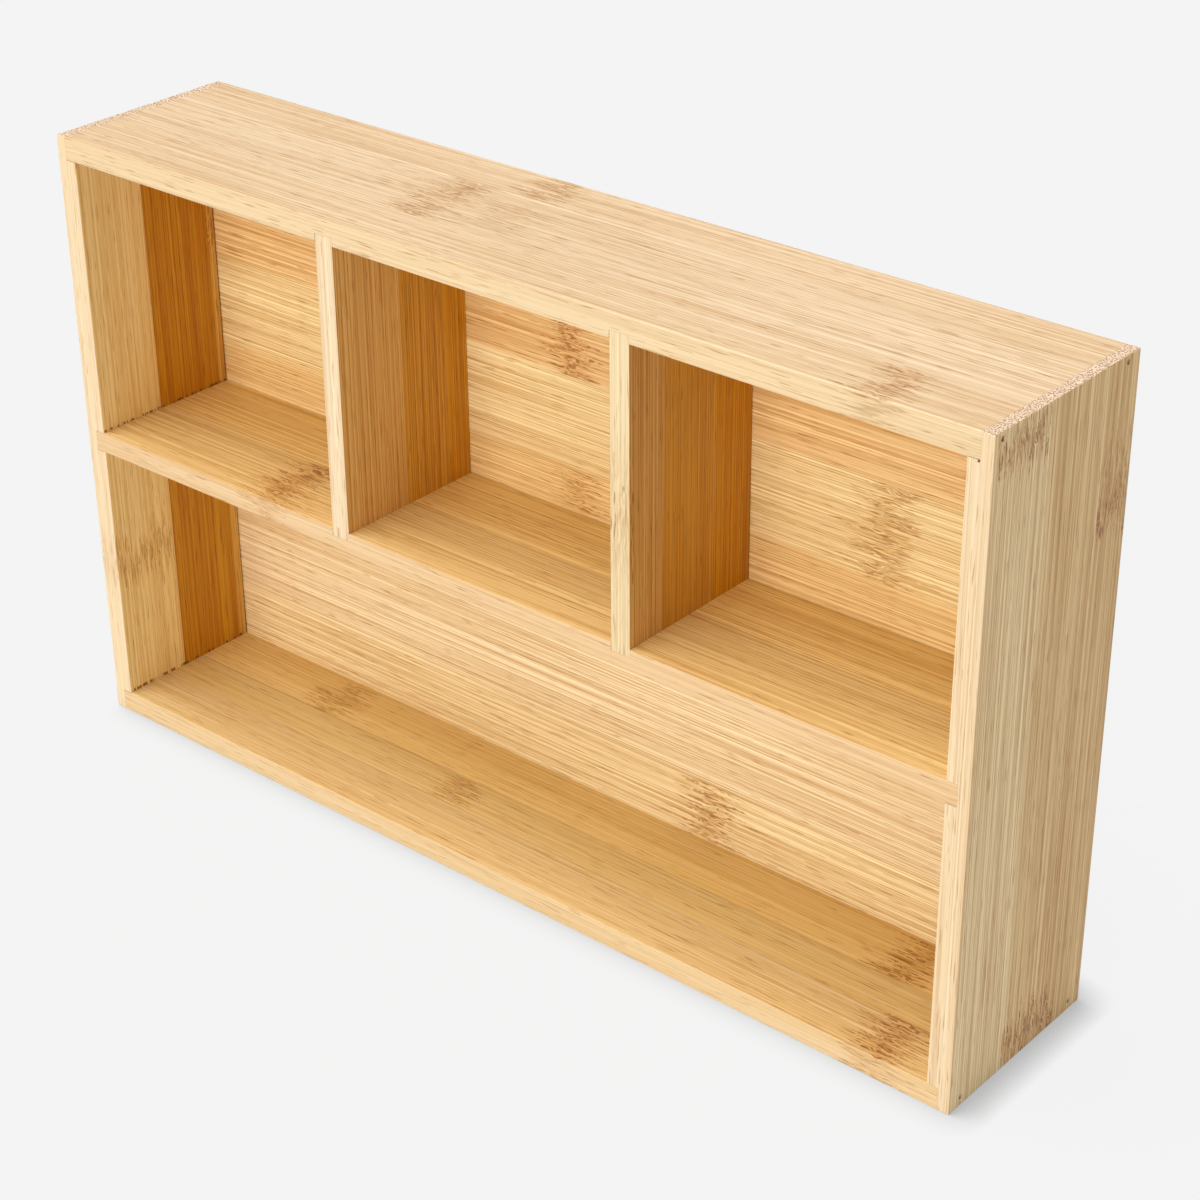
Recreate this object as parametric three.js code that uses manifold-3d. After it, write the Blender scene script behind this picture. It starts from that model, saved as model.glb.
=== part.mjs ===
// A bamboo desk organizer: a shallow box, open at the front, that stands on one long edge.
// A shelf and two dividers part it into three square bays above one long bay.
// Units are millimetres. +X is to the right, -Y is the open front and +Z is up.
// The origin is on the surface that the organizer stands on, under the middle of the box.

import * as THREE from "three";
import { mergeVertices } from "three/addons/utils/BufferGeometryUtils.js";
import Module from "manifold-3d";

// Overall size
const WIDTH = 300;
const HEIGHT = 180;
const DEPTH = 60;

// Board thicknesses
const SIDE_THICKNESS = 6.6;
const TOP_THICKNESS = 6.6;
const BOTTOM_THICKNESS = 6.6;
const SHELF_THICKNESS = 6;
const DIVIDER_THICKNESS = 6;
const BACK_THICKNESS = 5;

// Clear sizes of the bays; the middle bay and the height of the upper row are what is left over
const LOWER_BAY_HEIGHT = 80;
const OUTER_BAY_WIDTH = 92.2; // each of the two upper bays beside the sides

// Joinery, each depth measured into the board that is cut
const RABBET_DEPTH = 3.3;
const SHELF_DADO_DEPTH = 3.3;
const DIVIDER_DADO_DEPTH = 2.2;
const BACK_GROOVE_DEPTH = 2.5;
const BACK_INSET = 7.2; // from the rear edges of the box to the back panel
const JOINT_GAP = 0.2; // glue line where a board is housed in another

// Sanded rear edges
const REAR_EDGE_RADIUS = 1.5;
const REAR_EDGE_SEGMENTS = 6;

// Finishing brads, driven through the sides into the ends of the top and bottom boards
const BRAD_HEAD_DIAMETER = 1.3;
const BRAD_HEAD_LENGTH = 1;
const BRAD_SHANK_DIAMETER = 1;
const BRAD_LENGTH = 15;
const BRAD_POINT_LENGTH = 2;
const BRAD_SINK = 0.6; // how far the head is set below the face of the side
const BRAD_HOLE_GAP = 0.1; // radial room in the hole
const BRAD_SEGMENTS = 16;
const TOP_BRAD_DROP = 1.8; // below the top face
const BOTTOM_BRAD_RISE = 2.6; // above the bottom face
const TOP_FRONT_BRAD_INSET = 3; // behind the front edge
const BOTTOM_FRONT_BRAD_INSET = 5; // behind the front edge
const REAR_BRAD_INSET = 6; // in front of the rear edge

// Planes that the boards share
const sideOuterX = WIDTH / 2;
const sideInnerX = sideOuterX - SIDE_THICKNESS;
const boardEndX = sideInnerX + RABBET_DEPTH;
const frontY = -DEPTH / 2;
const rearY = DEPTH / 2;
const panelRearY = rearY - BACK_INSET;
const panelFrontY = panelRearY - BACK_THICKNESS;
const floorZ = BOTTOM_THICKNESS;
const ceilingZ = HEIGHT - TOP_THICKNESS;
const shelfUnderZ = floorZ + LOWER_BAY_HEIGHT;
const shelfTopZ = shelfUnderZ + SHELF_THICKNESS;

const dividerOuterX = sideInnerX - OUTER_BAY_WIDTH;
const dividerInnerX = dividerOuterX - DIVIDER_THICKNESS;

// Each divider's left and right faces
const dividerFaces = {
  left: [-dividerOuterX, -dividerInnerX],
  right: [dividerInnerX, dividerOuterX],
};

const wasm = await Module();
wasm.setup();

// A closed geometry as a solid that can be cut.
function solidOf(geometry) {
  geometry.deleteAttribute("normal");
  geometry.deleteAttribute("uv");
  const merged = mergeVertices(geometry);
  const vertProperties = merged.attributes.position.array;
  const triVerts = new Uint32Array(merged.index.array);
  return new wasm.Manifold(new wasm.Mesh({ numProp: 3, vertProperties, triVerts }));
}

// A solid as a geometry with flat-shaded faces.
function geometryOf(solid) {
  const { vertProperties, triVerts } = solid.getMesh();
  const indexed = new THREE.BufferGeometry();
  indexed.setAttribute("position", new THREE.BufferAttribute(vertProperties, 3));
  indexed.setIndex(new THREE.BufferAttribute(triVerts, 1));
  const geometry = indexed.toNonIndexed();
  geometry.computeVertexNormals();
  return geometry;
}

// A block between two values on each axis, given in either order.
function block([x0, x1], [y0, y1], [z0, z1]) {
  const geometry = new THREE.BoxGeometry(Math.abs(x1 - x0), Math.abs(y1 - y0), Math.abs(z1 - z0));
  geometry.translate((x0 + x1) / 2, (y0 + y1) / 2, (z0 + z1) / 2);
  return solidOf(geometry);
}

// The room for a board that spans low to high, with the glue line on both sides.
function housing([low, high]) {
  return [low - JOINT_GAP, high + JOINT_GAP];
}

// A rectangle in a drawing plane whose two corners at the greatest y are rounded.
function rearRoundedOutline(left, right, low, high) {
  const outline = new THREE.Shape();
  outline.moveTo(left, low);
  outline.lineTo(right, low);
  outline.absarc(right - REAR_EDGE_RADIUS, high - REAR_EDGE_RADIUS, REAR_EDGE_RADIUS, 0, Math.PI / 2);
  outline.absarc(left + REAR_EDGE_RADIUS, high - REAR_EDGE_RADIUS, REAR_EDGE_RADIUS, Math.PI / 2, Math.PI);
  outline.closePath();
  return outline;
}

// The outside of the whole box, with its four rear edges rounded: one prism shapes the two
// upright edges, another the two long ones, and the box is what they share.
function outerForm() {
  const settings = { bevelEnabled: false, curveSegments: REAR_EDGE_SEGMENTS };
  const uprightPrism = new THREE.ExtrudeGeometry(
    rearRoundedOutline(-sideOuterX, sideOuterX, frontY, rearY),
    { ...settings, depth: HEIGHT },
  );
  const longPrism = new THREE.ExtrudeGeometry(
    rearRoundedOutline(0, HEIGHT, frontY, rearY),
    { ...settings, depth: WIDTH },
  );
  longPrism.rotateY(-Math.PI / 2); // the drawing's x becomes +Z and its depth runs along -X
  longPrism.translate(sideOuterX, 0, 0);
  return solidOf(uprightPrism).intersect(solidOf(longPrism));
}

// A brad's outline from its head to its point, turned about the axis. grow widens it into its hole.
function turnedBrad(grow) {
  const headRadius = BRAD_HEAD_DIAMETER / 2 + grow;
  const shankRadius = BRAD_SHANK_DIAMETER / 2 + grow;
  const mouth = grow > 0 ? BRAD_SINK + grow : 0; // a hole reaches past the face of the side
  const outline = [
    new THREE.Vector2(0, mouth),
    new THREE.Vector2(headRadius, mouth),
    new THREE.Vector2(headRadius, -BRAD_HEAD_LENGTH - grow),
    new THREE.Vector2(shankRadius, -BRAD_HEAD_LENGTH - grow),
    new THREE.Vector2(shankRadius, -BRAD_LENGTH + BRAD_POINT_LENGTH),
    new THREE.Vector2(0, -BRAD_LENGTH - grow),
  ];
  // Turned from the point to the head, so that the faces look outwards.
  return new THREE.LatheGeometry(outline.reverse(), BRAD_SEGMENTS);
}

// Where each brad's head is. side is -1 on the left and 1 on the right.
const bradPlaces = [];
for (const [sideName, side] of [["left", -1], ["right", 1]]) {
  for (const [level, z, frontInset] of [
    ["top", HEIGHT - TOP_BRAD_DROP, TOP_FRONT_BRAD_INSET],
    ["bottom", BOTTOM_BRAD_RISE, BOTTOM_FRONT_BRAD_INSET],
  ]) {
    for (const [end, y] of [["front", frontY + frontInset], ["rear", rearY - REAR_BRAD_INSET]]) {
      const x = side * (sideOuterX - BRAD_SINK);
      bradPlaces.push({ name: `brad_${sideName}_${level}_${end}`, side, level, position: [x, y, z] });
    }
  }
}

// A brad laid along X with its point towards the middle of the box, or its hole when it is grown.
function placedBrad({ side, position }, grow = 0) {
  const geometry = turnedBrad(grow);
  geometry.rotateZ((-side * Math.PI) / 2);
  geometry.translate(...position);
  return solidOf(geometry);
}

// A solid less the holes of every brad that passes the test.
function drilled(solid, isThrough) {
  let left = solid;
  for (const place of bradPlaces.filter(isThrough)) {
    left = left.subtract(placedBrad(place, BRAD_HOLE_GAP));
  }
  return left;
}

const wholeBox = outerForm();
const fullDepth = [frontY, rearY];
const bayDepth = [frontY, panelFrontY - JOINT_GAP];
const dadoRun = [frontY, panelFrontY];
const panelGrooveY = housing([panelFrontY, panelRearY]);

// A side board: a rabbet at each end for the top and bottom boards, a dado for the shelf and a
// groove for the back panel. Its end grain shows beside the ends of the other two boards.
function sideBoard(side) {
  const cutDepth = (depth) => [side * sideInnerX, side * (sideInnerX + depth)];
  const board = block([side * sideInnerX, side * sideOuterX], fullDepth, [0, HEIGHT])
    .intersect(wholeBox)
    .subtract(block(cutDepth(RABBET_DEPTH), fullDepth, [ceilingZ - JOINT_GAP, HEIGHT]))
    .subtract(block(cutDepth(RABBET_DEPTH), fullDepth, [0, floorZ + JOINT_GAP]))
    .subtract(block(cutDepth(SHELF_DADO_DEPTH), dadoRun, housing([shelfUnderZ, shelfTopZ])))
    .subtract(block(cutDepth(BACK_GROOVE_DEPTH), panelGrooveY, [0, HEIGHT]));
  return drilled(board, (place) => place.side === side);
}

// The length of the top and bottom boards, from rabbet to rabbet.
const longBoardRun = [-boardEndX + JOINT_GAP, boardEndX - JOINT_GAP];

// The top board: a groove for the back panel and a dado for the head of each divider.
function topBoard() {
  let board = block(longBoardRun, fullDepth, [ceilingZ, HEIGHT])
    .intersect(wholeBox)
    .subtract(block(longBoardRun, panelGrooveY, [ceilingZ, ceilingZ + BACK_GROOVE_DEPTH]));
  for (const faces of Object.values(dividerFaces)) {
    board = board.subtract(block(housing(faces), dadoRun, [ceilingZ, ceilingZ + DIVIDER_DADO_DEPTH]));
  }
  return drilled(board, (place) => place.level === "top");
}

// The bottom board, which the organizer stands on.
function bottomBoard() {
  const board = block(longBoardRun, fullDepth, [0, floorZ])
    .intersect(wholeBox)
    .subtract(block(longBoardRun, panelGrooveY, [floorZ - BACK_GROOVE_DEPTH, floorZ]));
  return drilled(board, (place) => place.level === "bottom");
}

// The shelf, housed in both sides, with a dado for the foot of each divider.
function shelf() {
  const endX = sideInnerX + SHELF_DADO_DEPTH - JOINT_GAP;
  let board = block([-endX, endX], bayDepth, [shelfUnderZ, shelfTopZ]);
  for (const faces of Object.values(dividerFaces)) {
    board = board.subtract(block(housing(faces), bayDepth, [shelfTopZ - DIVIDER_DADO_DEPTH, shelfTopZ]));
  }
  return board;
}

// A divider between the shelf and the top board.
function divider(faces) {
  const intoDado = DIVIDER_DADO_DEPTH - JOINT_GAP;
  return block(faces, bayDepth, [shelfTopZ - intoDado, ceilingZ + intoDado]);
}

// The back panel, held in the grooves of the four outer boards.
function backPanel() {
  const intoGroove = BACK_GROOVE_DEPTH - JOINT_GAP;
  const endX = sideInnerX + intoGroove;
  return block([-endX, endX], [panelFrontY, panelRearY], [floorZ - intoGroove, ceilingZ + intoGroove]);
}

const group = new THREE.Group();

// A sub-part of the group, in its own colour.
function addPart(name, solid, color, roughness, metalness = 0) {
  const material = new THREE.MeshStandardMaterial({ color, roughness, metalness });
  const mesh = new THREE.Mesh(geometryOf(solid), material);
  mesh.name = name;
  group.add(mesh);
}

addPart("left_side", sideBoard(-1), "#c99a58", 0.5);
addPart("right_side", sideBoard(1), "#c4a878", 0.5);
addPart("top_board", topBoard(), "#f0cf95", 0.48);
addPart("bottom_board", bottomBoard(), "#dfb06a", 0.5);
addPart("shelf", shelf(), "#dcaa66", 0.5);
addPart("left_divider", divider(dividerFaces.left), "#b87c3c", 0.52);
addPart("right_divider", divider(dividerFaces.right), "#b0722e", 0.52);
addPart("back_panel", backPanel(), "#ecc486", 0.5);
for (const place of bradPlaces) {
  addPart(place.name, placedBrad(place), "#5a4632", 0.45, 0.8);
}

export default group;
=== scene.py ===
"""A bamboo desk organizer: eight boards and eight brads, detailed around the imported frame.

Lengths are in metres and MM turns millimetres into them. +X is to the right, -Y is the open
front and +Z is up. Every board gets its own mesh, cut with its housings, and its own bamboo.
"""

import math
import random
from typing import NamedTuple

import bmesh
import bpy
from mathutils import Matrix, Vector


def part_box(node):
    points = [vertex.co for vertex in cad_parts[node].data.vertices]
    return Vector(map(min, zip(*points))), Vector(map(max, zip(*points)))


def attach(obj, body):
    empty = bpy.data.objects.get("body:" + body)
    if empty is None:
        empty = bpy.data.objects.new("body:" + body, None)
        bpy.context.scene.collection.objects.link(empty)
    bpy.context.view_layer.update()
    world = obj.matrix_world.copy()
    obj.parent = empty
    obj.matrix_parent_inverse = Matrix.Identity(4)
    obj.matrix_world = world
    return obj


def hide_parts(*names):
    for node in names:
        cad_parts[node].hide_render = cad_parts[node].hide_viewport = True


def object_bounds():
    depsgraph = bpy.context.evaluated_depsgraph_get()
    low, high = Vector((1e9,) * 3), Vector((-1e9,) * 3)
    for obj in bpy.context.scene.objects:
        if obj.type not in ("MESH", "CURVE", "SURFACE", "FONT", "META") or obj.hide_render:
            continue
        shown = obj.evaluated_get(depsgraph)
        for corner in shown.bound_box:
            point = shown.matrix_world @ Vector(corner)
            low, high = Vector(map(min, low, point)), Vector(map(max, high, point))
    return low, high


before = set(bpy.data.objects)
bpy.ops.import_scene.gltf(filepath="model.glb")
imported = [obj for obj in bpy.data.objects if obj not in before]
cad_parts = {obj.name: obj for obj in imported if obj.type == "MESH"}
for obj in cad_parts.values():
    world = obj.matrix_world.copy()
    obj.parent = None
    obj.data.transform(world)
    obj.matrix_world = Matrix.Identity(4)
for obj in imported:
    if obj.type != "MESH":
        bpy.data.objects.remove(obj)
cad_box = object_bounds()

MM = 0.001

# ---------------------------------------------------------------------------------------------
# Places, all taken from the frame
# ---------------------------------------------------------------------------------------------

BOX_LOW, BOX_HIGH = (Vector(corner) for corner in cad_box)
BOARDS = (
    "left_side",
    "right_side",
    "top_board",
    "bottom_board",
    "shelf",
    "left_divider",
    "right_divider",
    "back_panel",
)
DIVIDERS = ("left_divider", "right_divider")
PLACE = {name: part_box(name) for name in BOARDS}
BRADS = sorted(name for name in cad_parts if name.startswith("brad_"))

CAD_GAP = 0.2 * MM  # what the frame leaves free round each housed edge
GLUE_LINE = 0.03 * MM  # what shows of it once the boards are pressed together
PRESSED = CAD_GAP - GLUE_LINE  # how much further a board then reaches at a housed end
PANEL_LINE = 0.45 * MM  # the back panel sits loose in the sides' grooves

RABBET_FLOOR = PLACE["top_board"][1].x + CAD_GAP
SHELF_DADO_FLOOR = PLACE["shelf"][1].x + CAD_GAP
GROOVE_FLOOR = PLACE["back_panel"][1].x + CAD_GAP
SIDE_INNER = PLACE["right_side"][0].x
CEILING = PLACE["top_board"][0].z
FLOOR_TOP = PLACE["bottom_board"][1].z
SHELF_UNDER = PLACE["shelf"][0].z
SHELF_TOP = PLACE["shelf"][1].z
PANEL_FRONT = PLACE["back_panel"][0].y
PANEL_REAR = PLACE["back_panel"][1].y
GROOVE_TOP = PLACE["back_panel"][1].z + CAD_GAP
GROOVE_BOTTOM = PLACE["back_panel"][0].z - CAD_GAP
DIVIDER_HEAD = PLACE["left_divider"][1].z + CAD_GAP
DIVIDER_FOOT = PLACE["left_divider"][0].z - CAD_GAP

# ---------------------------------------------------------------------------------------------
# Shaping the boards
# ---------------------------------------------------------------------------------------------

REAR_ROUND = 1.5 * MM  # the sanded rear edges
ARRIS = 0.3 * MM  # every other outside edge, broken with a touch of sandpaper
INNER_ARRIS = 0.2 * MM  # the bays' front edges
ROUND_SEGMENTS = 8
ARRIS_SEGMENTS = 3
ARRIS_PROFILE = 0.5  # a quarter circle
SHARP_ANGLE = 32  # degrees; a fold below it is shaded as round
FACE_WEIGHT = 100  # the most, so that the large faces are shaded flat
SAW_KERF = 0.7 * MM  # how far the saw cut past the corner of the upper right rabbet
OVERRUN = 1 * MM  # how far a cutter reaches past the face it enters


def block_mesh(name, low, high):
    """A cuboid mesh between two corners."""
    mesh = bpy.data.meshes.new(name)
    cuboid = bmesh.new()
    bmesh.ops.create_cube(cuboid, size=1)
    low = Vector(low)
    high = Vector(high)
    for vertex in cuboid.verts:
        share = vertex.co + Vector((0.5, 0.5, 0.5))
        vertex.co = low + share * (high - low)
    cuboid.to_mesh(mesh)
    cuboid.free()
    return mesh


def add_object(name, mesh):
    """An object for a mesh, linked to the scene."""
    made = bpy.data.objects.new(name, mesh)
    bpy.context.scene.collection.objects.link(made)
    return made


def add_block(name, low, high):
    """A cuboid object between two corners."""
    return add_object(name, block_mesh(name, low, high))


def apply_modifiers(piece):
    """Puts what a piece's modifiers make in place of its mesh."""
    graph = bpy.context.evaluated_depsgraph_get()
    made = bpy.data.meshes.new_from_object(piece.evaluated_get(graph), depsgraph=graph)
    before = piece.data
    piece.modifiers.clear()
    piece.data = made
    bpy.data.meshes.remove(before)


def combine(piece, tool, operation):
    """Cuts or keeps what a tool covers, and removes the tool."""
    modifier = piece.modifiers.new("combine", "BOOLEAN")
    modifier.operation = operation
    modifier.object = tool
    modifier.solver = "EXACT"
    apply_modifiers(piece)
    tool_mesh = tool.data
    bpy.data.objects.remove(tool)
    bpy.data.meshes.remove(tool_mesh)


def weighted_bevel(piece, widths):
    """Rounds a cuboid's edges. widths gives the radius of an edge from the place of its middle."""
    largest = 0
    shaped = bmesh.new()
    shaped.from_mesh(piece.data)
    layer = shaped.edges.layers.float.new("bevel_weight_edge")
    found = []
    for edge in shaped.edges:
        middle = (edge.verts[0].co + edge.verts[1].co) / 2
        width = widths(middle)
        found.append((edge, width))
        largest = max(largest, width)
    for edge, width in found:
        edge[layer] = width / largest
    shaped.to_mesh(piece.data)
    shaped.free()
    modifier = piece.modifiers.new("edges", "BEVEL")
    modifier.limit_method = "WEIGHT"
    modifier.width = largest
    modifier.segments = ROUND_SEGMENTS
    apply_modifiers(piece)


def outer_form():
    """The outside of the whole box: well rounded at the rear, just eased everywhere else."""
    form = add_block("outer_form", BOX_LOW, BOX_HIGH)

    def width(middle):
        return REAR_ROUND if middle.y > BOX_HIGH.y - ARRIS else ARRIS

    weighted_bevel(form, width)
    return form


def eased_block(name, low, high, is_eased):
    """A cuboid whose chosen edges have a small arris."""
    piece = add_block(name, low, high)
    shaped = bmesh.new()
    shaped.from_mesh(piece.data)
    chosen = []
    for edge in shaped.edges:
        middle = (edge.verts[0].co + edge.verts[1].co) / 2
        if is_eased(middle):
            chosen.append(edge)
    bmesh.ops.bevel(
        shaped,
        geom=chosen,
        offset=INNER_ARRIS,
        segments=ARRIS_SEGMENTS,
        profile=ARRIS_PROFILE,
        affect="EDGES",
    )
    shaped.to_mesh(piece.data)
    shaped.free()
    return piece


def carve(piece, cuts):
    """Cuts cuboids out of a board. Each one is two opposite corners, in any order."""
    for first, second in cuts:
        low = [min(pair) for pair in zip(first, second)]
        high = [max(pair) for pair in zip(first, second)]
        combine(piece, add_block("cutter", low, high), "DIFFERENCE")


def pressed_home(name, along):
    """A board's corners once both its ends are pressed into their housings."""
    low, high = PLACE[name]
    reach = Vector(along) * PRESSED
    return low - reach, high + reach


HOLE_SEGMENTS = 24
HOLE_GAP = 0.05 * MM


def drill(piece, brad):
    """Drills the pit and the pilot hole of a brad into a board."""
    low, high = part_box(brad)
    centre = (low + high) / 2
    side = math.copysign(1, centre.x)
    head_radius = (high.y - low.y) / 2 + HOLE_GAP
    mouth = side * (BOX_HIGH.x + OVERRUN)
    bottom = min(abs(low.x), abs(high.x)) * side - side * OVERRUN
    hole = bmesh.new()
    bmesh.ops.create_cone(
        hole,
        cap_ends=True,
        segments=HOLE_SEGMENTS,
        radius1=head_radius,
        radius2=head_radius,
        depth=abs(mouth - bottom),
        matrix=Matrix.Translation(((mouth + bottom) / 2, centre.y, centre.z))
        @ Matrix.Rotation(math.pi / 2, 4, "Y"),
    )
    mesh = bpy.data.meshes.new("drill")
    hole.to_mesh(mesh)
    hole.free()
    combine(piece, add_object("drill", mesh), "DIFFERENCE")


def smooth(piece):
    """Smooth shading over the rounded edges, with the flat faces kept flat."""
    for polygon in piece.data.polygons:
        polygon.use_smooth = True
    piece.data.set_sharp_from_angle(angle=math.radians(SHARP_ANGLE))
    modifier = piece.modifiers.new("normals", "WEIGHTED_NORMAL")
    modifier.keep_sharp = True
    modifier.weight = FACE_WEIGHT


def finish_board(piece, node, material):
    """Shades a board, gives it its bamboo and puts it in its CAD node's place."""
    piece.data.materials.clear()
    piece.data.materials.append(material)
    smooth(piece)
    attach(piece, "root")
    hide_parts(node)


def side_board(side):
    """A side with its rabbets, its shelf dado, its panel groove and its brad holes."""
    name = "left_side" if side < 0 else "right_side"
    low, high = PLACE[name]
    inner = side * SIDE_INNER
    past = side * (SIDE_INNER - OVERRUN)
    front = BOX_LOW.y - OVERRUN
    rear = BOX_HIGH.y + OVERRUN

    def is_bay_edge(middle):
        return abs(middle.x - inner) < ARRIS and middle.y < BOX_LOW.y + ARRIS

    piece = eased_block("board_" + name, low, high, is_bay_edge)
    combine(piece, outer_form(), "INTERSECT")
    rabbet = side * RABBET_FLOOR
    cuts = [
        ((past, front, CEILING - GLUE_LINE), (rabbet, rear, BOX_HIGH.z + OVERRUN)),
        ((past, front, BOX_LOW.z - OVERRUN), (rabbet, rear, FLOOR_TOP + GLUE_LINE)),
        ((past, front, SHELF_UNDER - GLUE_LINE),
         (side * SHELF_DADO_FLOOR, PANEL_FRONT, SHELF_TOP + GLUE_LINE)),
        ((past, PANEL_FRONT - PANEL_LINE, BOX_LOW.z - OVERRUN),
         (side * GROOVE_FLOOR, PANEL_REAR + PANEL_LINE, BOX_HIGH.z + OVERRUN)),
    ]
    if side > 0:
        cuts.append(((rabbet, front, CEILING), (rabbet - SAW_KERF, rear, CEILING - SAW_KERF)))
    carve(piece, cuts)
    for brad in BRADS:
        if name.split("_")[0] in brad:
            drill(piece, brad)
    return piece


def long_board(name, is_top):
    """The top or the bottom board, from rabbet to rabbet."""
    low, high = pressed_home(name, (1, 0, 0))
    inner = CEILING if is_top else FLOOR_TOP

    def is_bay_edge(middle):
        return abs(middle.z - inner) < ARRIS and middle.y < BOX_LOW.y + ARRIS

    piece = eased_block("board_" + name, low, high, is_bay_edge)
    combine(piece, outer_form(), "INTERSECT")
    groove = GROOVE_TOP if is_top else GROOVE_BOTTOM
    past = inner - OVERRUN if is_top else inner + OVERRUN
    cuts = [
        ((low.x - OVERRUN, PANEL_FRONT - GLUE_LINE, past),
         (high.x + OVERRUN, PANEL_REAR + GLUE_LINE, groove)),
    ]
    if is_top:
        cuts += [divider_dado(divider, past, DIVIDER_HEAD) for divider in DIVIDERS]
    carve(piece, cuts)
    for brad in BRADS:
        if ("top" in brad) == is_top:
            drill(piece, brad)
    return piece


def divider_dado(divider, past, bottom):
    """The corners of the dado that a divider stands in."""
    low, high = PLACE[divider]
    return (
        (low.x - GLUE_LINE, BOX_LOW.y - OVERRUN, past),
        (high.x + GLUE_LINE, PANEL_FRONT, bottom),
    )


def shelf_board():
    """The shelf, with a dado for the foot of each divider."""
    low, high = pressed_home("shelf", (1, 0, 0))

    def is_front_edge(middle):
        return middle.y < BOX_LOW.y + ARRIS and abs(middle.x) < ARRIS

    piece = eased_block("board_shelf", low, high, is_front_edge)
    carve(piece, [divider_dado(divider, SHELF_TOP + OVERRUN, DIVIDER_FOOT) for divider in DIVIDERS])
    return piece


def divider_board(name):
    """A divider, pressed home in its dadoes and eased on its two front edges."""
    low, high = pressed_home(name, (0, 0, 1))

    def is_front_edge(middle):
        return middle.y < BOX_LOW.y + ARRIS and abs(middle.z - (low.z + high.z) / 2) < ARRIS

    return eased_block("board_" + name, low, high, is_front_edge)


def panel_board():
    """The back panel, eased all round."""
    low, high = PLACE["back_panel"]
    return eased_block("board_back_panel", low, high, lambda middle: True)


# ---------------------------------------------------------------------------------------------
# Materials
# ---------------------------------------------------------------------------------------------


class Graph:
    """Short calls that build one material's nodes. A value may be a number, a tuple or a socket."""

    def __init__(self, name):
        self.material = bpy.data.materials.new(name)
        self.material.use_nodes = True
        self.nodes = self.material.node_tree.nodes
        self.links = self.material.node_tree.links
        self.shader = self.nodes["Principled BSDF"]

    def feed(self, socket, value):
        """Links a socket to a socket, or sets it to a plain value."""
        if isinstance(value, bpy.types.NodeSocket):
            self.links.new(value, socket)
        else:
            socket.default_value = value

    def node(self, kind, values, **settings):
        """A new node with its settings and its input values."""
        made = self.nodes.new(kind)
        for name, setting in settings.items():
            setattr(made, name, setting)
        for key, value in values.items():
            self.feed(made.inputs[key], value)
        return made

    def math(self, operation, first, second=0.0):
        return self.node("ShaderNodeMath", {0: first, 1: second}, operation=operation).outputs[0]

    def add(self, first, second):
        return self.math("ADD", first, second)

    def subtract(self, first, second):
        return self.math("SUBTRACT", first, second)

    def multiply(self, first, second):
        return self.math("MULTIPLY", first, second)

    def largest(self, first, second):
        return self.math("MAXIMUM", first, second)

    def vector_math(self, operation, first, second):
        return self.node("ShaderNodeVectorMath", {0: first, 1: second}, operation=operation).outputs[0]

    def vector(self, x, y, z):
        return self.node("ShaderNodeCombineXYZ", {0: x, 1: y, 2: z}).outputs[0]

    def separate(self, vector):
        return self.node("ShaderNodeSeparateXYZ", {0: vector}).outputs

    def distance(self, value, place):
        """How far a value is from a place, either way."""
        return self.math("ABSOLUTE", self.subtract(value, place))

    def step(self, value, start, end):
        """0 at start and 1 at end with a soft change between them. end may be the lower one."""
        values = {"Value": value, "From Min": start, "From Max": end}
        return self.node("ShaderNodeMapRange", values, interpolation_type="SMOOTHSTEP").outputs[0]

    def step_linear(self, value, low, high):
        """0 at low and 1 at high, straight between them."""
        values = {"Value": value, "From Min": low, "From Max": high}
        return self.node("ShaderNodeMapRange", values).outputs[0]

    def within(self, value, low, high, soft):
        """1 between low and high, 0 outside."""
        above = self.step(value, low - soft, low + soft)
        below = self.step(value, high + soft, high - soft)
        return self.multiply(above, below)

    def noise_outputs(self, place, size, detail=0.0):
        """The value and the colour of noise with cells of the given size along each axis of place."""
        values = {"Vector": self.vector_math("DIVIDE", place, size), "Scale": 1.0, "Detail": detail}
        return self.node("ShaderNodeTexNoise", values, noise_dimensions="3D").outputs

    def noise(self, place, size, detail=0.0):
        """The noise's value alone."""
        return self.noise_outputs(place, size, detail)[0]

    def mix(self, share, first, second, blend="MIX"):
        """Mixes two colours."""
        made = self.nodes.new("ShaderNodeMix")
        made.data_type = "RGBA"
        made.blend_type = blend
        self.feed(made.inputs[0], share)
        for socket, value in ((made.inputs[6], first), (made.inputs[7], second)):
            self.feed(socket, (*value, 1) if isinstance(value, tuple) else value)
        return made.outputs[2]

    def bands(self, value, low, high, edges, colours):
        """A flat colour for each stretch between edges."""
        made = self.node("ShaderNodeValToRGB", {0: self.step_linear(value, low, high)})
        ramp = made.color_ramp
        ramp.interpolation = "CONSTANT"
        ramp.elements.remove(ramp.elements[1])
        ramp.elements[0].position = 0
        ramp.elements[0].color = (*colours[0], 1)
        for edge, colour in zip(edges, colours[1:]):
            ramp.elements.new((edge - low) / (high - low)).color = (*colour, 1)
        return made.outputs["Color"]


class Bamboo(NamedTuple):
    """How a board's bamboo is laid up. Places are millimetres along the board's own axes."""

    axes: str  # with the grain, across the lanes, through the thickness
    joints: tuple  # where one lane of bamboo meets the next
    inward: tuple  # the way the bay side faces
    bay: tuple  # the colour of each lane on the bay side
    outside: tuple  # and on the other side
    front: tuple  # the colour of the front edge
    shades: tuple  # how the dark fibres tint each lane's colour
    knuckles: tuple  # (middle with the grain, low and high across, half length, strength)
    shaded_corners: tuple = ()  # heights of neighbours along whose inside corner the bay side gets a painted shade


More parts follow.
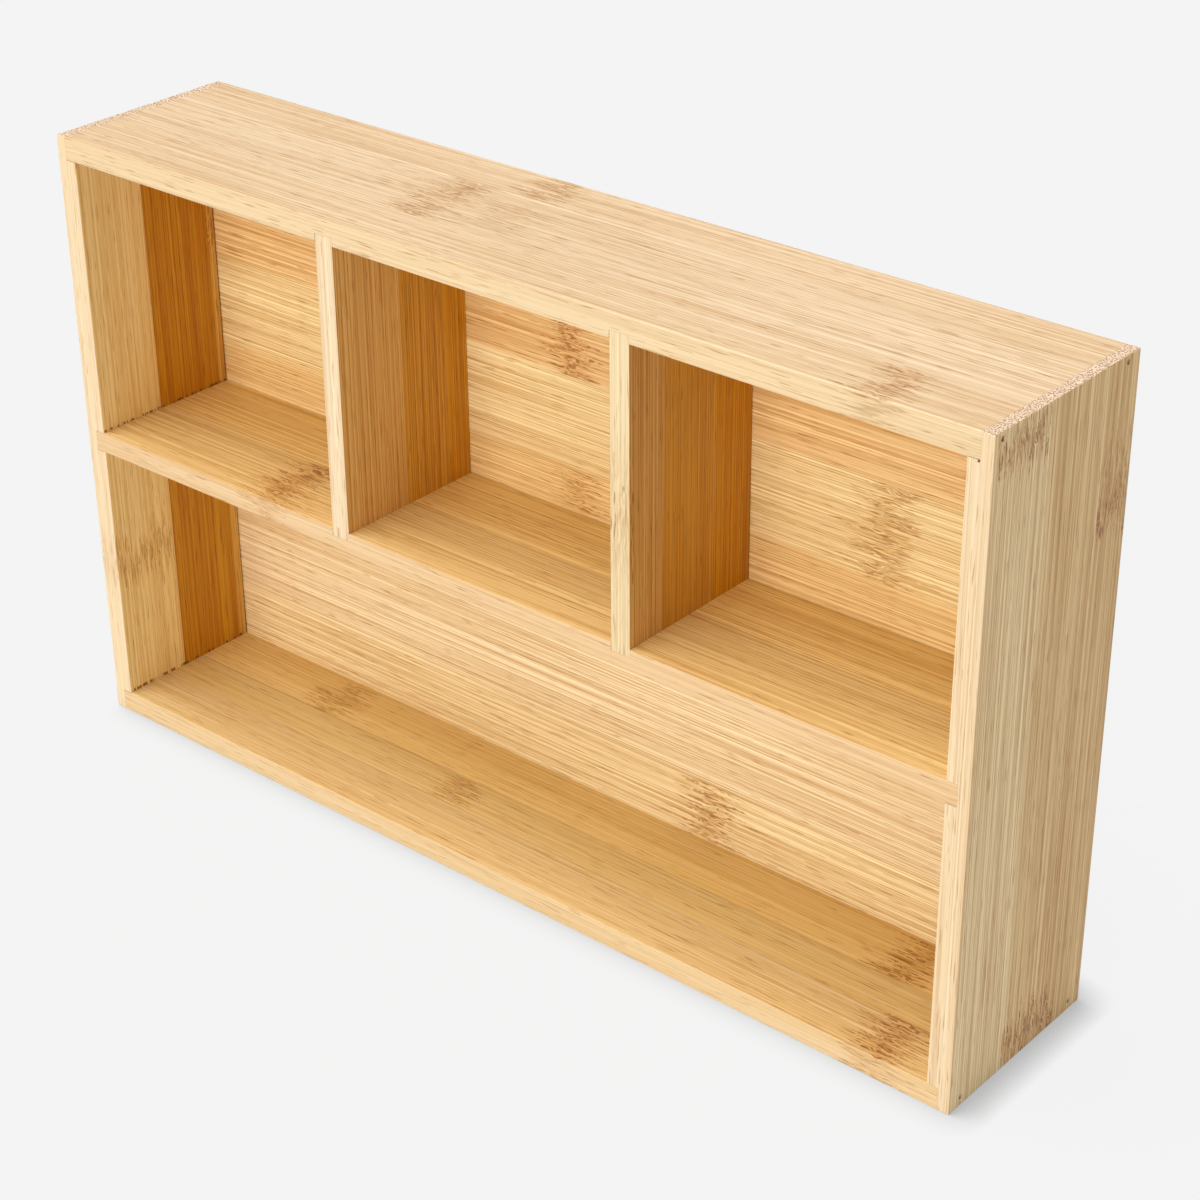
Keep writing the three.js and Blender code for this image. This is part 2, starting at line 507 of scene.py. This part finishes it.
class Pattern(NamedTuple):
    """One kind of noise in a material."""

    size: tuple  # its cells in millimetres, the first one with the grain
    low: float  # the value of the noise that gives 0
    high: float  # and the one that gives 1
    strength: float = 1.0  # how much of it shows


# The tone is made of the first four, whose strengths add up to 1.
FIBRE = Pattern((90, 0.38, 0.38), 0.34, 0.60, 0.44)
BROAD = Pattern((120, 1.5, 1.5), 0.25, 0.75, 0.07)
STRAND = Pattern((140, 0.62, 0.62), 0.32, 0.68, 0.33)
FINE = Pattern((40, 0.22, 0.22), 0.2, 0.8, 0.16)
DASH = Pattern((8, 0.34, 0.34), 0.68, 0.76, 0.7)
FLECK = Pattern((9, 0.36, 0.36), 0.48, 0.60)
END_DOT = Pattern((16, 0.42, 0.42), 0.45, 0.6)
# Breaks up the painted shade along the inside corners.
PAINTED_CORNER_SHADE = Pattern((3, 0.8, 3), 0.48, 0.58)
NOISE_MIDDLE = 0.5

LANE_MARGIN = 60  # millimetres past the outer joints that the outer lanes reach
START_ALONG = 900.0  # the most millimetres that a lane's pattern is moved with the grain
START_DEPTH = 300.0  # and through the thickness

KNUCKLE_FADE = (1.5, 0.5)  # shares of its half length where a knuckle ends, and where it is full
RAG_SIZE = (18, 0.6, 0.6)
RAG_REACH = 26.0  # the most millimetres between a knuckle's longest and shortest streaks
LANE_EDGE = 0.3  # millimetres on each side of its lane's edge over which a knuckle stops
SWIRL_SIZE = (4.5, 1.9, 1.9)
SWIRL_ALONG = 8.0  # millimetres that a full knuckle moves the fibres with the grain
SWIRL_ACROSS = 2.6  # and across it
SWIRL_ANYWHERE = 0.03  # how much of that they move away from any knuckle

# Where each of these starts and where it is full.
LINE_EDGE = (0.045, 0.01)  # how far the strands' noise is from its middle
JOINT_EDGE = (0.16, 0.05)  # millimetres from the joint of two lanes
PAINTED_CORNER_SHADE_EDGE = (0.75, 0.3)  # millimetres from the inside corner, for its painted shade
BAY_FACING = (0.4, 0.7)  # how squarely a face looks into the bay
FRONT_FACING = (-0.4, -0.7)  # the y of a front edge's normal
END_FACING = (0.5, 0.8)  # how squarely a face crosses the grain

LINE_STRENGTH = 0.6
JOINT_STRENGTH = 0.7
FRONT_CALM = 0.5  # how much weaker the pattern is on the front edge
FRONT_TONE = 0.6  # the tone that it weakens to
LIGHT_GAIN = 0.42  # how far light fibres rise, as a share of how far the dark ones fall

LINE_TINT = (0.76, 0.62, 0.44)
DASH_TINT = (0.62, 0.46, 0.30)
KNUCKLE_TINT = (0.88, 0.76, 0.62)
FLECK_TINT = (0.52, 0.37, 0.25)
JOINT_TINT = (0.82, 0.72, 0.58)
END_COLOUR = (0.78, 0.60, 0.42)
END_DOT_COLOUR = (0.38, 0.23, 0.145)
# The painted shade along the inside corners.
PAINTED_CORNER_SHADE_TINT = (0.35, 0.22, 0.12)

BUMP_DEPTH = 0.03 * MM
BUMP_STRENGTH = 0.5
ROUGHNESS = 0.52  # of the dark fibres
LIGHT_SMOOTHNESS = 0.14  # how much smoother the light ones are
END_ROUGHNESS = 0.15  # how much rougher end grain is
SPECULAR = 0.35


def lane_colour(graph, bamboo, across, colours):
    """A value for each lane of a board."""
    low = bamboo.joints[0] - LANE_MARGIN
    high = bamboo.joints[-1] + LANE_MARGIN
    return graph.bands(across, low, high, bamboo.joints, colours)


def tinted(graph, share, colour, tint):
    """The colour with a tint laid over a share of it."""
    return graph.mix(share, colour, graph.mix(1.0, colour, tint, "MULTIPLY"))


def stepped(graph, noise, pattern):
    """A pattern with soft edges between its two values."""
    return graph.multiply(graph.step(noise, pattern.low, pattern.high), pattern.strength)


def spread(graph, noise, pattern):
    """A pattern that changes evenly between its two values."""
    return graph.multiply(graph.step_linear(noise, pattern.low, pattern.high), pattern.strength)


def knuckle_share(graph, bamboo, stick, along, across):
    """How much of a knuckle is here: ragged with the grain, and cut off at its lane's edges."""
    rag = graph.subtract(graph.noise(stick, RAG_SIZE), NOISE_MIDDLE)
    ragged = graph.add(along, graph.multiply(rag, RAG_REACH))
    most = 0.0
    for middle, low, high, half, strength in bamboo.knuckles:
        reach = graph.distance(ragged, middle)
        outer, inner = (half * share for share in KNUCKLE_FADE)
        swell = graph.multiply(graph.step(reach, outer, inner), strength)
        found = graph.multiply(swell, graph.within(across, low, high, LANE_EDGE))
        most = graph.largest(most, found)
    return most


def bent_by_knuckles(graph, stick, knuckle):
    """The place in the stick, moved so that the fibres swirl where there is a knuckle."""
    noise = graph.noise_outputs(stick, SWIRL_SIZE)[1]
    swirl = graph.vector_math("SUBTRACT", noise, (NOISE_MIDDLE,) * 3)
    amount = graph.add(knuckle, SWIRL_ANYWHERE)
    sideways = graph.multiply(amount, SWIRL_ACROSS)
    reach = graph.vector(graph.multiply(amount, SWIRL_ALONG), sideways, sideways)
    return graph.vector_math("ADD", stick, graph.vector_math("MULTIPLY", swirl, reach))


def fibres(graph, stick, knuckle):
    """The pattern along the grain: the tone, dark lines, dashes, flecks and the fibres' relief."""
    bent = bent_by_knuckles(graph, stick, knuckle)
    fibre = graph.noise(bent, FIBRE.size)
    strand = graph.noise(bent, STRAND.size)
    tone = stepped(graph, fibre, FIBRE)
    tone = graph.add(tone, spread(graph, graph.noise(bent, BROAD.size), BROAD))
    tone = graph.add(tone, spread(graph, strand, STRAND))
    tone = graph.add(tone, spread(graph, graph.noise(bent, FINE.size), FINE))
    line = graph.step(graph.distance(strand, NOISE_MIDDLE), *LINE_EDGE)
    line = graph.multiply(line, LINE_STRENGTH)
    dash = stepped(graph, graph.noise(bent, DASH.size), DASH)
    fleck = graph.multiply(knuckle, stepped(graph, graph.noise(bent, FLECK.size), FLECK))
    return tone, line, dash, fleck, fibre


def bamboo_material(name, bamboo):
    """Bamboo lanes glued side by side, with their fibres, knuckles and end grain."""
    graph = Graph(name)
    draw = random.Random(name)
    coordinates = graph.node("ShaderNodeTexCoord", {}).outputs
    millimetres = graph.vector_math("MULTIPLY", coordinates["Object"], (1 / MM, 1 / MM, 1 / MM))
    place = dict(zip("xyz", graph.separate(millimetres)))
    normal = dict(zip("xyz", graph.separate(coordinates["Normal"])))
    along, across, depth = (place[axis] for axis in bamboo.axes)

    # Every lane is another stick of bamboo, so its pattern starts somewhere else.
    starts = [(draw.random(),) * 3 for _ in range(len(bamboo.joints) + 1)]
    start = lane_colour(graph, bamboo, across, starts)
    stick = graph.vector(
        graph.add(along, graph.multiply(start, START_ALONG)),
        across,
        graph.add(depth, graph.multiply(start, START_DEPTH)),
    )
    knuckle = knuckle_share(graph, bamboo, stick, along, across)
    tone, line, dash, fleck, fibre = fibres(graph, stick, knuckle)

    # The side, the lane and the fibre each have a say in the colour.
    facing = {0: coordinates["Normal"], 1: bamboo.inward}
    facing_bay = graph.node("ShaderNodeVectorMath", facing, operation="DOT_PRODUCT").outputs["Value"]
    on_bay = graph.step(facing_bay, *BAY_FACING)
    on_front = graph.step(normal["y"], *FRONT_FACING)
    on_end = graph.step(graph.math("ABSOLUTE", normal[bamboo.axes[0]]), *END_FACING)
    bay = lane_colour(graph, bamboo, across, bamboo.bay)
    outside = lane_colour(graph, bamboo, across, bamboo.outside)
    colour = graph.mix(on_bay, outside, bay)
    if bamboo.axes[1] == "y":
        colour = graph.mix(on_front, colour, bamboo.front)
        calm = graph.multiply(on_front, FRONT_CALM)
        tone = graph.add(tone, graph.multiply(calm, graph.subtract(FRONT_TONE, tone)))
        line = graph.multiply(line, graph.subtract(1.0, calm))
    shade = lane_colour(graph, bamboo, across, bamboo.shades)
    fall = graph.vector_math("SUBTRACT", (1, 1, 1), shade)
    light = graph.vector_math("ADD", (1, 1, 1), graph.vector_math("MULTIPLY", fall, (LIGHT_GAIN,) * 3))
    colour = graph.mix(1.0, colour, graph.mix(tone, shade, light), "MULTIPLY")
    colour = tinted(graph, line, colour, LINE_TINT)
    colour = tinted(graph, dash, colour, DASH_TINT)
    colour = tinted(graph, knuckle, colour, KNUCKLE_TINT)
    colour = tinted(graph, fleck, colour, FLECK_TINT)

    # Glue lines between the lanes.
    joint = 0.0
    for edge in bamboo.joints:
        found = graph.step(graph.distance(across, edge), *JOINT_EDGE)
        joint = graph.largest(joint, found)
    colour = tinted(graph, graph.multiply(joint, JOINT_STRENGTH), colour, JOINT_TINT)

    # End grain, where cut bundles show as dots.
    dots = stepped(graph, graph.noise(stick, END_DOT.size), END_DOT)
    colour = graph.mix(on_end, colour, graph.mix(dots, END_COLOUR, END_DOT_COLOUR))

    # Painted shade, broken up by noise, on the bay side just above where a neighbour is housed.
    for shaded_corner in bamboo.shaded_corners:
        reach = graph.step(graph.distance(along, shaded_corner), *PAINTED_CORNER_SHADE_EDGE)
        painted_shade = stepped(graph, graph.noise(stick, PAINTED_CORNER_SHADE.size), PAINTED_CORNER_SHADE)
        colour = tinted(graph, graph.multiply(graph.multiply(reach, painted_shade), on_bay), colour, PAINTED_CORNER_SHADE_TINT)

    graph.feed(graph.shader.inputs["Base Color"], colour)
    roughness = graph.subtract(ROUGHNESS, graph.multiply(tone, LIGHT_SMOOTHNESS))
    roughness = graph.add(roughness, graph.multiply(on_end, END_ROUGHNESS))
    graph.feed(graph.shader.inputs["Roughness"], roughness)
    height = graph.subtract(fibre, joint)
    relief = {"Strength": BUMP_STRENGTH, "Distance": BUMP_DEPTH, "Height": height}
    graph.feed(graph.shader.inputs["Normal"], graph.node("ShaderNodeBump", relief).outputs[0])
    graph.shader.inputs["Specular IOR Level"].default_value = SPECULAR
    return graph.material


PALE_SHADE = (0.76, 0.64, 0.51)
SIDE_SHADE = (0.66, 0.49, 0.30)
SOFT_SHADE = (0.87, 0.74, 0.50)
DEEP_SHADE = (0.74, 0.56, 0.34)
DIVIDER_SHADE = (0.68, 0.49, 0.28)
STREAKED_SHADE = (0.72, 0.46, 0.20)
PANEL_SHADE = (0.70, 0.52, 0.30)

FRONT_SIDE = (0.798, 0.615, 0.384)
SIDE_OUTSIDE = ((0.883, 0.67, 0.361), (0.793, 0.543, 0.244), (0.768, 0.517, 0.224))
# Partly the lanes' own colour, partly painted shade: the lanes behind the front one are darker and
# deeper orange for the shade deeper in the bay.
SIDE_BAY_AND_PAINTED_SHADE = ((0.92, 0.69, 0.31), (0.61, 0.28, 0.01), (0.766, 0.46, 0.097))
OUTER_LANES = ((0.732, 0.542, 0.338), (0.737, 0.556, 0.357), (0.728, 0.537, 0.334))
HIDDEN_LANES = ((0.733, 0.508, 0.235), (0.752, 0.526, 0.244), (0.733, 0.508, 0.235))
# Partly the lanes' own colour, partly painted light and shade: more yellow in the lower bay and more
# orange from the shelf up, for how differently the two bays are lit.
PANEL_LANES_AND_PAINTED_LIGHT = (
    (0.92, 0.713, 0.39),
    (0.895, 0.689, 0.404),
    (0.837, 0.641, 0.355),
    (0.9, 0.63, 0.281),
    (0.93, 0.72, 0.365),
    (0.872, 0.586, 0.262),
    (0.86, 0.553, 0.215),
)
PANEL_REAR_LANES = (
    (0.89, 0.665, 0.35),
    (0.87, 0.655, 0.355),
    (0.84, 0.625, 0.33),
    (0.88, 0.645, 0.32),
    (0.89, 0.66, 0.33),
    (0.85, 0.61, 0.30),
    (0.86, 0.61, 0.29),
)
# Partly the lanes' own colour, partly painted shade: darker and deeper orange towards the rear, where
# the bays grow dark.
LEFT_DIVIDER_LANES_AND_PAINTED_SHADE = ((0.76, 0.455, 0.14), (0.67, 0.34, 0.038), (0.675, 0.32, 0.01))
RIGHT_DIVIDER_LANES_AND_PAINTED_SHADE = ((0.655, 0.37, 0.108), (0.62, 0.305, 0.033), (0.62, 0.28, 0.004))

BAMBOOS = {
    "left_side": Bamboo(
        axes="zyx",
        joints=(-8.4, 14.4),
        inward=(1, 0, 0),
        bay=SIDE_BAY_AND_PAINTED_SHADE,
        outside=SIDE_OUTSIDE,
        front=FRONT_SIDE,
        shades=(SOFT_SHADE, STREAKED_SHADE, STREAKED_SHADE),
        knuckles=((50, -30, -8.4, 6, 0.5), (142, 14.4, 30, 5, 0.8)),
        # The inside corners above the shelf and the bottom board get a painted shade.
        shaded_corners=(92.8, 7.0),
    ),
    "right_side": Bamboo(
        axes="zyx",
        joints=(-7.5, 16),
        inward=(-1, 0, 0),
        bay=SIDE_BAY_AND_PAINTED_SHADE,
        outside=SIDE_OUTSIDE,
        front=FRONT_SIDE,
        shades=(SIDE_SHADE,) * 3,
        knuckles=(
            (173.5, -28, -7.5, 4, 0.9),
            (142, 16, 29, 4, 0.9),
            (153, 16, 29, 5, 0.4),
            (6, -7.5, 16, 4, 1.0),
        ),
    ),
    "top_board": Bamboo(
        axes="xyz",
        joints=(-13.5, 14),
        inward=(0, 0, -1),
        bay=HIDDEN_LANES,
        outside=OUTER_LANES,
        front=(0.775, 0.587, 0.343),
        shades=(PALE_SHADE,) * 3,
        knuckles=(
            (-16, 14, 30, 5, 0.6),
            (-36, -13.5, 14, 6, 0.6),
            (-14, -9, 8, 7, 0.3),
            (119, -30, -13.5, 5, 0.7),
        ),
    ),
    "bottom_board": Bamboo(
        axes="xyz",
        joints=(-13.5, -1),
        inward=(0, 0, 1),
        bay=((0.70, 0.49, 0.225), (0.75, 0.535, 0.223), (0.885, 0.637, 0.26)),
        outside=OUTER_LANES,
        front=(0.743, 0.522, 0.273),
        shades=(SOFT_SHADE,) * 3,
        knuckles=(
            (-92, -1, 16, 5, 0.6),
            (-31, -13.5, -1, 4, 0.7),
            (114, -1, 17, 6, 0.9),
            (127, -30, -13.5, 6, 1.0),
        ),
    ),
    "shelf": Bamboo(
        axes="xyz",
        joints=(-5, 11),
        inward=(0, 0, 1),
        bay=((0.775, 0.54, 0.225), (0.89, 0.635, 0.245), (0.91, 0.665, 0.25)),
        outside=HIDDEN_LANES,
        front=(0.752, 0.522, 0.282),
        shades=(DEEP_SHADE,) * 3,
        knuckles=((-77, -30, -5, 6, 0.9),),
    ),
    "left_divider": Bamboo(
        axes="zyx",
        joints=(-7, 9),
        inward=(1, 0, 0),
        bay=LEFT_DIVIDER_LANES_AND_PAINTED_SHADE,
        outside=LEFT_DIVIDER_LANES_AND_PAINTED_SHADE,
        front=(0.818, 0.649, 0.423),
        shades=(DIVIDER_SHADE,) * 3,
        knuckles=(),
    ),
    "right_divider": Bamboo(
        axes="zyx",
        joints=(-17, 3),
        inward=(1, 0, 0),
        bay=RIGHT_DIVIDER_LANES_AND_PAINTED_SHADE,
        outside=RIGHT_DIVIDER_LANES_AND_PAINTED_SHADE,
        front=(0.799, 0.649, 0.395),
        shades=(DIVIDER_SHADE,) * 3,
        knuckles=((129, -31, -28.5, 16, 0.3),),
    ),
    "back_panel": Bamboo(
        axes="xzy",
        joints=(25, 52, 78.5, 105, 132, 158.5),
        inward=(0, -1, 0),
        bay=PANEL_LANES_AND_PAINTED_LIGHT,
        outside=PANEL_REAR_LANES,
        front=FRONT_SIDE,
        shades=(PANEL_SHADE,) * 7,
        knuckles=(
            (-8, 132, 158.5, 5, 0.9),
            (-5, 78.5, 92, 5, 0.6),
            (-5, 92, 105, 5, 0.6),
            (92, 105, 132, 6, 0.6),
            (39, 6, 25, 6, 0.8),
        ),
    ),
}


DUST = Pattern((0.35, 0.35, 0.35), 0.4, 0.62)
DUST_DETAIL = 3.0
STEEL_COLOUR = (0.13, 0.075, 0.04)
DUST_COLOUR = (0.28, 0.17, 0.09)
STEEL_ROUGHNESS = 0.38
DUST_ROUGHNESS = 0.3  # how much rougher the dust is
STEEL_METALLIC = 0.7


def steel_material():
    """Dark steel, dulled unevenly by the glue and dust in the hole."""
    graph = Graph("brad_steel")
    place = graph.node("ShaderNodeTexCoord", {}).outputs["Object"]
    millimetres = graph.vector_math("MULTIPLY", place, (1 / MM, 1 / MM, 1 / MM))
    dust = graph.noise(millimetres, DUST.size, DUST_DETAIL)
    colour = graph.mix(stepped(graph, dust, DUST), STEEL_COLOUR, DUST_COLOUR)
    graph.feed(graph.shader.inputs["Base Color"], colour)
    roughness = graph.add(STEEL_ROUGHNESS, graph.multiply(dust, DUST_ROUGHNESS))
    graph.feed(graph.shader.inputs["Roughness"], roughness)
    graph.shader.inputs["Metallic"].default_value = STEEL_METALLIC
    return graph.material


# ---------------------------------------------------------------------------------------------
# Boards
# ---------------------------------------------------------------------------------------------

MADE = {
    "left_side": side_board(-1),
    "right_side": side_board(1),
    "top_board": long_board("top_board", True),
    "bottom_board": long_board("bottom_board", False),
    "shelf": shelf_board(),
    "left_divider": divider_board("left_divider"),
    "right_divider": divider_board("right_divider"),
    "back_panel": panel_board(),
}
for name in BOARDS:
    finish_board(MADE[name], name, bamboo_material(name + "_bamboo", BAMBOOS[name]))

steel = steel_material()
for brad in BRADS:
    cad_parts[brad].data.materials.clear()
    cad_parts[brad].data.materials.append(steel)

# ---------------------------------------------------------------------------------------------
# Camera, floor and light
# ---------------------------------------------------------------------------------------------

VIEW_AZIMUTH = 40.42  # degrees to the right of the open front
VIEW_ELEVATION = 28.88
VIEW_ROLL = -0.485
VIEW_DISTANCE = 658 * MM
LENS = 80.93  # millimetres of focal length
SENSOR_WIDTH = 36
# The camera looks at this share of the box's front, from its lower left corner.
AIM_SHARE = (0.6394, 0.5736)

FLOOR_HALF = 20
FLOOR_GLOW = 0.862
FLOOR_ALBEDO = 0.03
CONTACT_REACH = 9.5 * MM  # how far from the organizer its contact shade fades out
CONTACT_LEAN = (-0.7, -0.35, 0.62)  # towards the lamps
CONTACT_GLOW = 0.42  # what is left of the floor's glow where they touch
CONTACT_SKY = (0.2, 0.95)  # the open share of the sky at the darkest shade, and where it ends
CONTACT_SAMPLES = 6
WHITE = (1, 1, 1, 1)
AMBIENT = 0.27
LAMP_SPREAD = 45  # degrees, so that both lamps are as soft as big softboxes
LAMPS = {
    "overhead": (-60, 75, 3.2),  # degrees right of the front, degrees up, strength
    "frontal": (6, 12, 2.12),
}


def aimed(azimuth, elevation, roll=0):
    """The turn that makes a camera or lamp look at the box from that direction."""
    return (
        Matrix.Rotation(math.radians(azimuth), 4, "Z")
        @ Matrix.Rotation(math.radians(90 - elevation), 4, "X")
        @ Matrix.Rotation(math.radians(roll), 4, "Z")
    )


def add_camera():
    """The camera, at the photograph's viewing angle."""
    data = bpy.data.cameras.new("camera")
    data.lens = LENS
    data.sensor_width = SENSOR_WIDTH
    camera = bpy.data.objects.new("camera", data)
    bpy.context.scene.collection.objects.link(camera)
    size = BOX_HIGH - BOX_LOW
    aim = Vector((
        BOX_LOW.x + AIM_SHARE[0] * size.x,
        BOX_LOW.y,
        BOX_LOW.z + AIM_SHARE[1] * size.z,
    ))
    turn = aimed(VIEW_AZIMUTH, VIEW_ELEVATION, VIEW_ROLL)
    backwards = turn.to_3x3() @ Vector((0, 0, 1))
    camera.matrix_world = Matrix.Translation(aim + backwards * VIEW_DISTANCE) @ turn
    bpy.context.scene.camera = camera


def floor_material():
    """A pale floor that glows, with a soft contact shade on the side away from the lamps."""
    graph = Graph("pale_floor")
    values = {"Distance": CONTACT_REACH, "Normal": graph.vector(*CONTACT_LEAN)}
    sky = graph.node("ShaderNodeAmbientOcclusion", values, samples=CONTACT_SAMPLES)
    open_sky = sky.outputs["AO"]
    openness = graph.step_linear(open_sky, *CONTACT_SKY)
    glow = graph.add(CONTACT_GLOW, graph.multiply(openness, 1 - CONTACT_GLOW))
    graph.feed(graph.shader.inputs["Emission Strength"], graph.multiply(glow, FLOOR_GLOW))
    graph.shader.inputs["Emission Color"].default_value = WHITE
    graph.shader.inputs["Base Color"].default_value = (FLOOR_ALBEDO, FLOOR_ALBEDO, FLOOR_ALBEDO, 1)
    graph.shader.inputs["Roughness"].default_value = 1
    graph.shader.inputs["Specular IOR Level"].default_value = 0
    return graph.material


def add_floor():
    """The plane that the organizer stands on."""
    corners = []
    for x, y in ((-1, -1), (1, -1), (1, 1), (-1, 1)):
        corners.append((x * FLOOR_HALF, y * FLOOR_HALF, BOX_LOW.z))
    mesh = bpy.data.meshes.new("floor")
    mesh.from_pydata(corners, [], [(0, 1, 2, 3)])
    mesh.materials.append(floor_material())
    add_object("floor", mesh)


def add_lights():
    """A pale surround, one wide lamp overhead and one in front."""
    world = bpy.data.worlds.new("surround")
    world.use_nodes = True
    background = world.node_tree.nodes["Background"]
    background.inputs["Strength"].default_value = AMBIENT
    background.inputs["Color"].default_value = WHITE
    bpy.context.scene.world = world
    for name, (azimuth, elevation, strength) in LAMPS.items():
        data = bpy.data.lights.new(name, "SUN")
        data.energy = strength
        data.angle = math.radians(LAMP_SPREAD)
        lamp = bpy.data.objects.new(name, data)
        bpy.context.scene.collection.objects.link(lamp)
        lamp.matrix_world = aimed(azimuth, elevation)


add_camera()
add_floor()
add_lights()
bpy.context.scene.view_settings.view_transform = "Standard"
